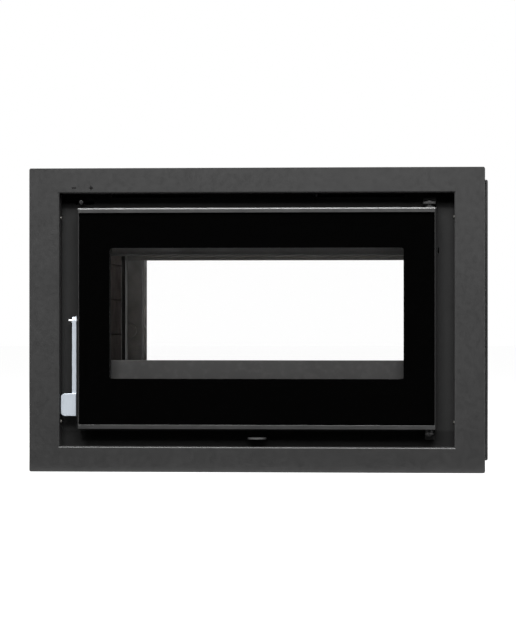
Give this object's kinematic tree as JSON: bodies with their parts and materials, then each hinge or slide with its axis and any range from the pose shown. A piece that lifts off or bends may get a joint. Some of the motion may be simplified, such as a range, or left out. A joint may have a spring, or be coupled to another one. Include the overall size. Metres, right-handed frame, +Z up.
{
  "type": "fireplace insert",
  "caption": "See-through wood-burning fireplace insert with a flat dark frame, glazed doors front and rear, drop lever handles and air controls.",
  "frame": {"origin": "on the floor under the middle of the insert", "axes": "+X to the right as seen from the front, +Y from the front to the rear, +Z up"},
  "size_m": [0.9, 0.6, 0.6],
  "materials": {
    "frame_paint": "fine matt anthracite stove paint",
    "black_steel": "matt black heat-resistant paint",
    "casing_zinc": "galvanised sheet",
    "flue_steel": "matt black heat-resistant paint on thick sheet",
    "zinc_fastener": "zinc-plated",
    "hinge_steel": "turned dark steel",
    "stainless": "satin stainless steel",
    "knob_black": "blackened steel",
    "ceramic_glass": "clear glass ceramic with a black printed border",
    "seal_fibre": "graphite-dipped glass fibre",
    "firebrick": "sooted fireclay, rough",
    "vermiculite": "pressed vermiculite board",
    "grate_iron": "as cast"
  },
  "bodies": {
    "stove_body": {"front_trim_frame": "frame_paint", "front_face_plate": "frame_paint", "front_lintel": "black_steel", "front_log_guard": "black_steel", "front_air_wash_duct": "black_steel", "rear_trim_frame": "frame_paint", "rear_face_plate": "frame_paint", "rear_lintel": "black_steel", "rear_log_guard": "black_steel", "rear_air_wash_duct": "black_steel", "frame_screws": "frame_paint", "latch_pockets": "black_steel", "hinge_brackets": "frame_paint", "hinge_pins": "hinge_steel", "casing_left": "casing_zinc", "casing_right": "casing_zinc", "casing_top": "casing_zinc", "casing_bottom": "casing_zinc", "casing_screws": "zinc_fastener", "levelling_feet": "zinc_fastener", "foot_nuts": "zinc_fastener", "firebox_left_wall": "black_steel", "firebox_right_wall": "black_steel", "firebox_floor": "black_steel", "firebox_roof": "black_steel", "left_side_bricks": "firebrick", "right_side_bricks": "firebrick", "brick_retainers": "black_steel", "corner_air_ducts": "black_steel", "hearth_slabs": "firebrick", "grate": "grate_iron", "ash_pan": "black_steel", "lower_baffle": "vermiculite", "upper_baffle": "black_steel", "flue_collar": "flue_steel", "outside_air_collar": "flue_steel", "primary_air_box": "black_steel"},
    "front_door": {"front_door_surround": "black_steel", "front_door_glass": "ceramic_glass", "front_glass_seal": "seal_fibre", "front_door_frame": "black_steel", "front_rope_seal": "seal_fibre", "front_hinge_bushes": "zinc_fastener"},
    "front_handle": {"front_handle_lever": "stainless", "front_latch_shaft": "stainless", "front_latch_hook": "black_steel"},
    "rear_door": {"rear_door_surround": "black_steel", "rear_door_glass": "ceramic_glass", "rear_glass_seal": "seal_fibre", "rear_door_frame": "black_steel", "rear_rope_seal": "seal_fibre", "rear_hinge_bushes": "zinc_fastener"},
    "rear_handle": {"rear_handle_lever": "stainless", "rear_latch_shaft": "stainless", "rear_latch_hook": "black_steel"},
    "air_wash_control": {"air_wash_knob": "knob_black", "air_wash_slider": "black_steel"},
    "primary_air_control": {"primary_air_slide": "frame_paint"}
  },
  "joints": [
    {"name": "front_door_hinge", "type": "hinge", "parent": "stove_body", "child": "front_door", "pos_m": [0.341, -0.282, 0.3], "axis": [0, 0, 1], "range_deg": [0, 105]},
    {"name": "front_handle_pivot", "type": "hinge", "parent": "front_door", "child": "front_handle", "pos_m": [-0.36, -0.282, 0.298], "axis": [-1, 0, 0], "range_deg": [0, 25]},
    {"name": "rear_door_hinge", "type": "hinge", "parent": "stove_body", "child": "rear_door", "pos_m": [0.341, 0.282, 0.3], "axis": [0, 0, -1], "range_deg": [0, 105]},
    {"name": "rear_handle_pivot", "type": "hinge", "parent": "rear_door", "child": "rear_handle", "pos_m": [-0.36, 0.282, 0.298], "axis": [1, 0, 0], "range_deg": [0, 25]},
    {"name": "air_wash_slide", "type": "slide", "parent": "stove_body", "child": "air_wash_control", "axis": [1, 0, 0], "range_m": [-0.013, 0.021]},
    {"name": "primary_air_pull", "type": "slide", "parent": "stove_body", "child": "primary_air_control", "axis": [0, -1, 0], "range_m": [0, 0.03]}
  ]
}
